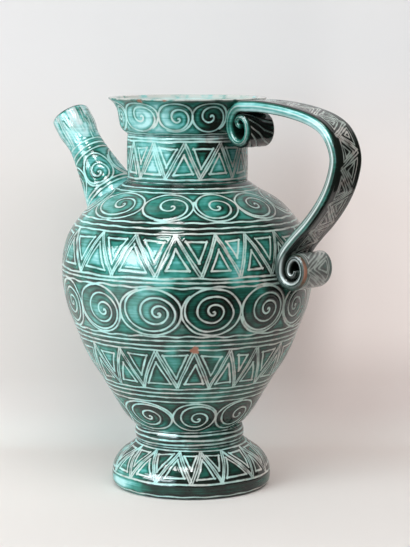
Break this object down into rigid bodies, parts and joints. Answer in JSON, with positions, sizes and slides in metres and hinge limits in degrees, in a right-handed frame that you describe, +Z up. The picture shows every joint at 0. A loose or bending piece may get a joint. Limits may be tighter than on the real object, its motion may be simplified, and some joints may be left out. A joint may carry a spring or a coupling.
{
  "type": "spouted jug",
  "caption": "Glazed earthenware jug on a flared foot, with a round belly, a flared collar, a slanted spout and a strap handle rolled into scrolls.",
  "frame": {"origin": "On the standing plane, in the middle of the jug's overall box. The pot's own turning axis is vertical and stands at x = -0.0079 m, y = 0.", "axes": "+Z up along the pot's turning axis; +X towards the handle, with the spout on the -X side; +Y square to both, across the jug."},
  "size_m": [0.2659, 0.1806, 0.28],
  "materials": {
    "glaze_green": "glossy glaze, sea green",
    "glaze_deep": "glossy glaze, pooled dark green",
    "glaze_turquoise": "glossy glaze, pale turquoise",
    "slip_pale": "glaze over the pale luting slip"
  },
  "bodies": {
    "root": {"foot": "glaze_green", "foot_slip": "slip_pale", "waist_ring": "glaze_deep", "waist_slip": "slip_pale", "belly": "glaze_green", "neck_slip": "slip_pale", "neck": "glaze_deep", "collar_slip": "slip_pale", "rim_collar": "glaze_green", "spout_slip": "slip_pale", "spout": "glaze_turquoise", "upper_handle_slip": "slip_pale", "lower_handle_slip": "slip_pale", "handle": "glaze_deep"}
  },
  "joints": []
}
